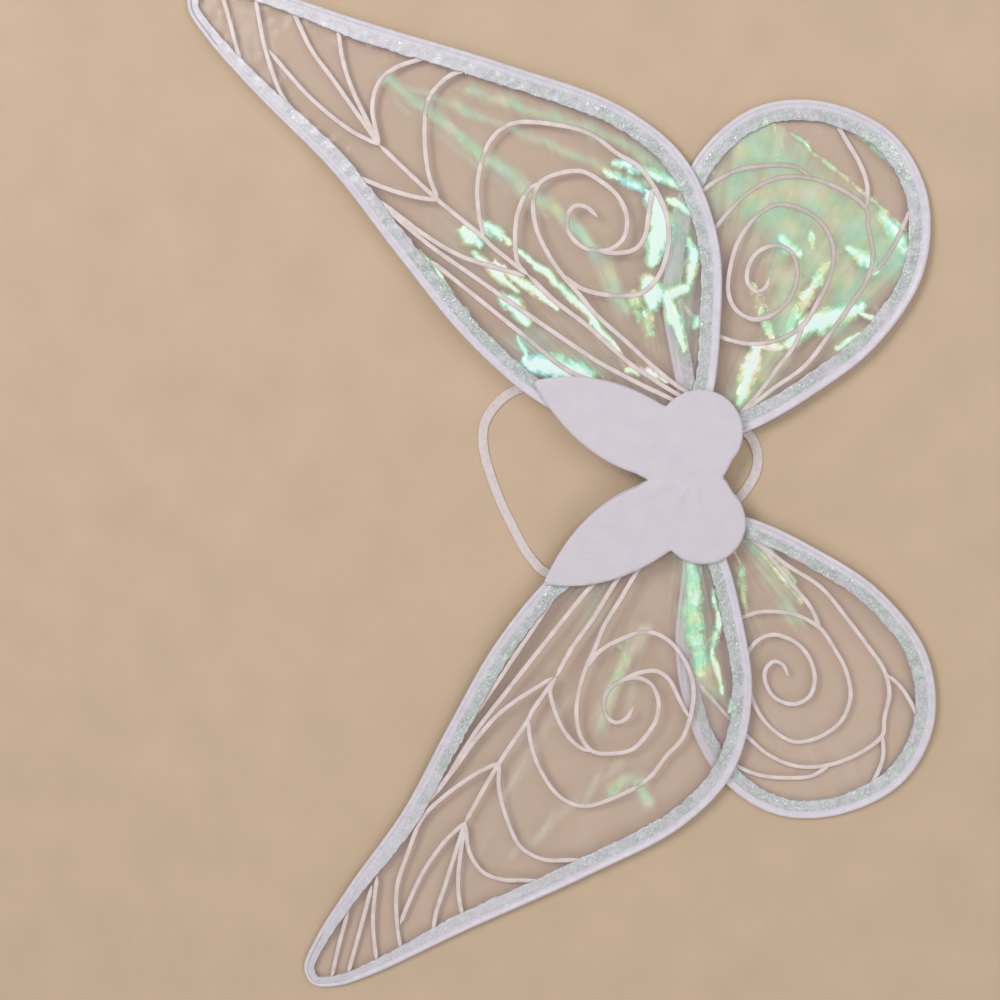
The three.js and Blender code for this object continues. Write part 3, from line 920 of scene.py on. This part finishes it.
# ---- Printed veins ------------------------------------------------------------------------
VEINS = {
    "upper": [
        [(134, 41), (141, 46), (143, 52), (139, 57), (130, 58), (122, 54), (117, 46), (116, 38),
         (120, 30), (130, 26), (142, 28), (152, 35), (160, 44), (162, 56), (160, 67), (152, 73),
         (137, 75), (122, 72), (109, 67), (96, 60), (84, 54), (67, 42), (51, 31), (39, 22), (28, 12)],
        [(109, 67), (99, 58), (92, 44), (89, 28), (95, 17), (107, 9), (122, 5), (138, 7),
         (155, 14), (165, 24), (178, 35), (187, 51), (194, 75), (188, 89), (170, 100),
         (151, 104), (138, 104)],
        [(117, 46), (113, 35), (113, 25), (118, 19), (130, 14), (142, 9)],
        [(28, 17), (40, 29), (54, 42), (79, 60), (96, 74), (113, 85)],
        [(113, 85), (120, 89), (132, 88), (147, 83), (157, 75), (160, 69)],
        [(113, 85), (133, 101), (138, 104), (164, 124), (201, 149)],
        [(113, 87), (132, 119), (148, 136), (169, 154), (182, 167)],
        [(20, 14), (31, 26), (44, 42), (58, 58), (78, 77), (101, 98), (121, 116), (141, 134),
         (158, 147), (176, 160), (188, 172)],
        [(23, 25), (34, 42), (45, 58), (57, 75), (83, 96), (102, 111), (121, 126)],
        [(164, 124), (170, 138), (181, 156), (197, 175), (220, 187), (241, 196), (268, 199),
         (289, 198)],
        [(164, 124), (180, 126), (205, 122), (219, 116), (227, 103), (228, 86)],
        [(201, 149), (213, 163), (233, 179), (254, 191), (266, 197)],
        [(201, 149), (222, 148), (234, 141), (239, 130), (240, 117)],
        [(201, 149), (242, 166), (261, 174), (279, 178)],
        [(201, 149), (236, 157), (251, 158), (263, 157)],
        [(240, 212), (269, 223), (300, 235)],
        [(256, 229), (282, 239), (309, 248)],
        [(234, 208), (263, 214), (290, 215)],
    ],
    "lower": [
        [(119, -55), (112, -52), (110, -47), (115, -42), (123, -42), (132, -47), (136, -58),
         (131, -67), (120, -70), (106, -66), (97, -57), (94, -46), (99, -36), (109, -31),
         (124, -32), (140, -37), (153, -47), (159, -58), (156, -72), (147, -84), (133, -90),
         (117, -88), (104, -82), (90, -73), (82, -59), (80, -43), (82, -33), (86, -23), (95, -12), (104, -4)],
        [(92, -74), (79, -69), (65, -59), (50, -48), (41, -40), (32, -29), (26, -20)],
        [(26, -22), (38, -38), (53, -56), (67, -75), (87, -90), (103, -101), (116, -109),
         (129, -112), (146, -109), (155, -108), (164, -98), (173, -78), (174, -59), (167, -43),
         (157, -32), (150, -26), (140, -17), (130, -9)],
        [(119, -111), (126, -118), (136, -124), (145, -128)],
        [(155, -108), (168, -108), (180, -104), (192, -97)],
        [(173, -78), (180, -67), (181, -52), (179, -36), (174, -25), (168, -16)],
    ],
}
VEIN_WIDTH = {"upper": 2.9, "lower": 2.7}
VEIN_START, VEIN_END = 28, 6.5
RUN_ON = 16
# The right wings' film was cut with its print a little turned, in degrees, scaled and moved.
PRINT_PLACE = {("upper", "right"): (8.0, 1.04, (18.6, -24.4)), ("lower", "right"): (-2.4, 0.97, (-1.6, 7.0))}


def run_on(wing, line):
    """A vein that stops near the hem goes on under it, so that a turned print meets it too."""
    line = np.array(line, float)
    away, _ = nearest_on(wing["coarse"], line[-1:])
    if away[0] < RUN_ON:
        last = line[-1] - line[-2]
        line = np.vstack([line, line[-1] + last / np.linalg.norm(last) * RUN_ON])
    return line


def printed(name, side, line):
    turn, scale, move = PRINT_PLACE.get((name, side), (0, 1, (0, 0)))
    x, y = run_on(WINGS[name], line).T * scale
    c, s = math.cos(math.radians(turn)), math.sin(math.radians(turn))
    return np.stack([x * c - y * s + move[0], x * s + y * c + move[1]], axis=1)


def inside_hem(wing, points):
    """Keeps the part of a vein that lies within the film, up to the hem's middle."""
    away, _ = nearest_on(wing["coarse"], points)
    from_centre = np.linalg.norm(points, axis=1)
    nearest = np.argmin(
        np.linalg.norm(points[:, None, :] - wing["line"][None, ::2, :], axis=2), axis=1
    )
    towards = points - wing["line"][::2][nearest]
    within = np.einsum("ij,ij->i", towards, wing["inward"][::2][nearest]) > 0
    return (away > VEIN_END * wing["width"][::2][nearest]) & within & (from_centre > VEIN_START)


def make_veins(name, side):
    wing = WINGS[name]
    points, faces, under_painted_sheen = [], [], []
    ring = [(-1, 0.0), (-0.75, 0.17), (-0.3, 0.24), (0.3, 0.24), (0.75, 0.17), (1, 0.0), (0, -0.02)]
    for line in VEINS[name]:
        path = spaced(catmull_rom(printed(name, side, line), 10), 1.1)
        path = path[inside_hem(wing, path)]
        if len(path) < 4:
            continue
        along = travelled(path)
        normal = -side_normals(path)
        ends = np.minimum(along, along[-1] - along)
        half = VEIN_WIDTH[name] / 2 * (0.35 + 0.65 * smooth(ends, 0, 5))
        half *= 1 + 0.07 * noise_along(along, 6, 31)
        rows = []
        for u, v in ring:
            flat = path + normal * (half * u)[:, None]
            rows.append(np.column_stack([flat, np.full(len(flat), v)]))
        block = np.stack(rows, axis=1).reshape(-1, 3)
        field = film_field(name, side, block[:, :2])
        block[:, 2] += field["height"] + 0.03
        # How far painted sheen lies over each vein, to fade the print under it.
        under_painted_sheen.append(smooth(field["painted_sheen"], 0.55, 0.95))
        start = sum(len(p) for p in points)
        count = len(path)
        faces += grid_faces(count, len(ring), closed=True, start=start)
        faces += end_caps(count, len(ring), start)
        points.append(block)
    block = placed(np.vstack(points), side, wing)
    covered = {"under_painted_sheen": np.concatenate(under_painted_sheen)}
    made = make_object(f"vein_print_{name}_{side}", block, faces, VEIN, covered)
    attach(made, f"{side}_wings")
    return made


for side in SIDES:
    for name in WINGS:
        film, outline, area = make_film(name, side)
        hem = make_hem(name, side)
        veins = make_veins(name, side)

# ---- Felt pads ----------------------------------------------------------------------------
PAD_THICKNESS = 1.5
FRONT_PAD_LEVEL = 8.4
PAD_MESH_STEP = 1.3


def bezier(a, b, c, count):
    t = np.linspace(0, 1, count)[:, None]
    return (1 - t) ** 2 * np.array(a) + 2 * t * (1 - t) * np.array(b) + t**2 * np.array(c)


def half_pad_outline():
    """The right half of a pad, from the crease out along the leaf and back round the lobe."""
    angles = np.radians(np.linspace(50, -133, 60))
    lobe = np.array([26, -9]) + 24 * np.stack([np.cos(angles), np.sin(angles)], axis=1)
    parts = [
        np.array([[0, 21.0], [4, 28.0]]),
        bezier((4, 28), (16, 62), (56, 83), 60),
        bezier((56, 83), (60, 85), (60, 80), 12),
        bezier((60, 80), (65, 44), (42, 11), 60),
        lobe,
        np.array([[4, -23.5], [0, -21.0]]),
    ]
    return spaced(np.vstack(parts), 1.0)


def make_pad(which, side):
    outline = half_pad_outline()
    low, high = outline.min(axis=0), outline.max(axis=0)
    across, up = (np.arange(start, end, PAD_MESH_STEP) for start, end in ((0, high[0]), (low[1], high[1])))
    gx, gy = np.meshgrid(across, up)
    seeds = np.column_stack([gx.ravel(), gy.ravel()])
    seeds[:, 0] += 0.25 * noise(seeds[:, 0], seeds[:, 1], 1.7, 40)
    seeds[:, 0] = np.maximum(seeds[:, 0], 0)
    closed = np.vstack([outline, outline[:1]])
    away, _ = nearest_on(closed, seeds)
    seeds = seeds[away > 0.7]
    crease = np.column_stack([np.zeros(33), np.linspace(outline[-1, 1], outline[0, 1], 35)[1:-1]])
    corners = [Vector(p) for p in np.vstack([outline, crease, seeds]).tolist()]
    loop = list(range(len(outline) + len(crease)))
    flat, _, triangles, *_ = delaunay_2d_cdt(corners, [], [loop], 1, 1e-4)
    flat = np.array([tuple(p) for p in flat])
    away, _ = nearest_on(outline, flat)
    on_edge = away < 1e-3
    crease_side = flat[:, 0] < 1e-3
    round_off = np.where(crease_side, 0, np.clip(1 - away / 0.9, 0, 1))
    dip = 0.5 * (1 - np.sqrt(1 - 0.92 * round_off**2))
    x, y = flat.T
    swell = 0.16 * noise(x * SIDES[side], y, 14, 41) + 0.06 * noise(x * SIDES[side], y, 4, 42)
    fold = 0.45 * np.exp(-((x / 3.0) ** 2)) * smooth(np.abs(y + 2), 36, 2)
    bearing = np.degrees(np.arctan2(y + 6, x + 3))
    gather = noise_along(bearing, 13, {"left": 43, "right": 47}[side]) * np.exp(-np.hypot(x, y + 6) / 24)
    gather *= {"left": 1.5, "right": 0.9}[side] * smooth(x, 0, 9)
    base = FRONT_PAD_LEVEL if which == "front" else 0
    relief = 1 if which == "front" else 0.4
    top = base + PAD_THICKNESS - dip + relief * (swell - fold + gather) * (1 - round_off) * 0.9
    under = base + dip
    drop = droop(x)
    upper = np.column_stack([x * SIDES[side], y, top - drop])
    lower = np.column_stack([x * SIDES[side], y, under - drop])
    count = len(flat)
    triangles = [tuple(t) for t in triangles]
    faces = [t[::-1] if side == "left" else t for t in triangles]
    faces += [tuple(count + k for k in t[::-1]) for t in faces]
    edges = {}
    for t in faces[: len(triangles)]:
        for a, b in zip(t, t[1:] + t[:1]):
            edges[a, b] = edges.get((a, b), 0) + 1
    rim = [(a, b) for a, b in edges if (b, a) not in edges and not (crease_side[a] and crease_side[b])]
    faces += [(b, a, count + a, count + b) for a, b in rim]
    made = make_object(f"felt_{which}_{side}", np.vstack([upper, lower]), faces, FELT)
    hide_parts(f"felt_pad_{which}")
    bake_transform(made)


for which in ("back", "front"):
    for side in SIDES:
        make_pad(which, side)


# ---- Thread tacks -------------------------------------------------------------------------
def make_tack(node, side):
    low, high = (np.array(c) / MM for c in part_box(node))
    points, faces, along_all = [], [], []
    sides, loops, radius = 8, 9, 0.22
    for k in range(loops):
        y = low[1] + radius + (high[1] - low[1] - 2 * radius) * k / (loops - 1)
        t = np.linspace(0, math.pi, 14)
        middle_x, half = (low[0] + high[0]) / 2, (high[0] - low[0]) / 2 - radius
        path = np.column_stack([
            middle_x - half * np.cos(t),
            y + 0.12 * np.sin(2 * t),
            high[2] - (high[2] - low[2]) * 0.55 * np.sin(t) - 0.02,
        ])
        start = sum(len(p) for p in points)
        ring = np.linspace(0, 2 * math.pi, sides, endpoint=False)
        rows = []
        for p, a in zip(path, t):
            out = np.array([-math.cos(a), 0, -math.sin(a)])
            for r in ring:
                rows.append(p + radius * (out * math.cos(r) + np.array([0, 1, 0]) * math.sin(r)))
        points.append(np.array(rows))
        faces += grid_faces(len(path), sides, closed=True, start=start)
        faces += end_caps(len(path), sides, start)
        along_all.append(np.repeat(travelled(path), sides))
    lengths = {"along": np.concatenate(along_all)}
    made = make_object(f"stitches_{node}", np.vstack(points), faces, THREAD, lengths)
    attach(made, f"{side}_wings")
    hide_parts(node)


for side in SIDES:
    for end in ("upper", "lower"):
        make_tack(f"strap_tack_{end}_{side}", side)


# ---- Tape wraps ---------------------------------------------------------------------------
def make_wrap(side):
    """Tape wound round the wire legs, each turn lapping the last."""
    low, high = (np.array(c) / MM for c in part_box(f"wire_wrap_{side}"))
    middle, half = (low + high) / 2, (high - low) / 2
    steps, sides = 60, 40
    points = []
    for i in range(steps):
        share = i / (steps - 1)
        x = low[0] + (high[0] - low[0]) * share
        for j in range(sides):
            a = 2 * math.pi * j / sides
            lap = (share * 4.5 + j / sides) % 1
            swell = 1 - 0.045 * lap
            corner = (abs(math.cos(a)) ** 4 + abs(math.sin(a)) ** 4) ** -0.25
            y = middle[1] + half[1] * corner * math.cos(a) * swell
            z = middle[2] + (half[2] - 0.15) * corner * math.sin(a) * swell
            z -= float(droop(x)) - float(droop(middle[0]))
            points.append((x, y, z))
    faces = grid_faces(steps, sides, closed=True)
    inner_start = len(points)
    inner = [
        (p[0], middle[1] + (p[1] - middle[1]) * 0.86, middle[2] + (p[2] - middle[2]) * 0.88) for p in points
    ]
    points += inner
    faces += [f[::-1] for f in grid_faces(steps, sides, closed=True, start=inner_start)]
    for row in (0, steps - 1):
        for j in range(sides):
            a, b = row * sides + j, row * sides + (j + 1) % sides
            quad = (a, b, b + inner_start, a + inner_start)
            faces.append(quad[::-1] if row == 0 else quad)
    made = make_object(f"tape_wrap_{side}", points, faces, TAPE)
    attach(made, f"{side}_wings")
    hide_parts(f"wire_wrap_{side}")


for side in SIDES:
    make_wrap(side)

# ---- Wires keep their CAD shape -----------------------------------------------------------
for side in SIDES:
    for name in WINGS:
        node = bpy.data.objects[f"{name}_wire_{side}"]
        for slot in node.material_slots:
            slot.link = "OBJECT"
            slot.material = WIRE


# ---- Floor and light ----------------------------------------------------------------------
def make_floor():
    n = Nodes("pale_floor")
    n.set(
        Base_Color=n.ramp(n.noise(40, 3), (0.3, (0.545, 0.405, 0.275)), (0.7, (0.585, 0.435, 0.30))),
        Roughness=0.9,
    )
    size = 3000
    floor = make_object(
        "floor",
        [(-size, -size, 0), (size, -size, 0), (size, size, 0), (-size, size, 0)],
        [(0, 1, 2, 3)],
        n.material,
    )
    floor.location.z = FLOOR_Z - 0.0001


def make_light(name, location, size, power, colour=(1, 1, 1)):
    data = bpy.data.lights.new(name, "AREA")
    data.shape = "RECTANGLE"
    data.size, data.size_y = size
    data.energy = power
    data.color = colour
    light = bpy.data.objects.new(name, data)
    light.location = location
    light.rotation_euler = (-Vector(location)).to_track_quat("-Z", "Y").to_euler()
    bpy.context.collection.objects.link(light)


make_floor()
make_light("key", (0.9, 1.1, 1.6), (1.1, 0.8), 22)
make_light("fill", (-1.3, -0.6, 1.5), (1.4, 1.4), 8, (1.0, 0.96, 0.92))
make_light("strip", (0.7, -0.9, 1.3), (0.35, 1.2), 7, (0.93, 1.0, 1.0))

world = bpy.data.worlds.new("studio")
world.use_nodes = True
world.node_tree.nodes["Background"].inputs["Color"].default_value = (0.95, 0.97, 1.0, 1)
world.node_tree.nodes["Background"].inputs["Strength"].default_value = 0.40
bpy.context.scene.world = world
bpy.context.scene.view_settings.view_transform = "Standard"
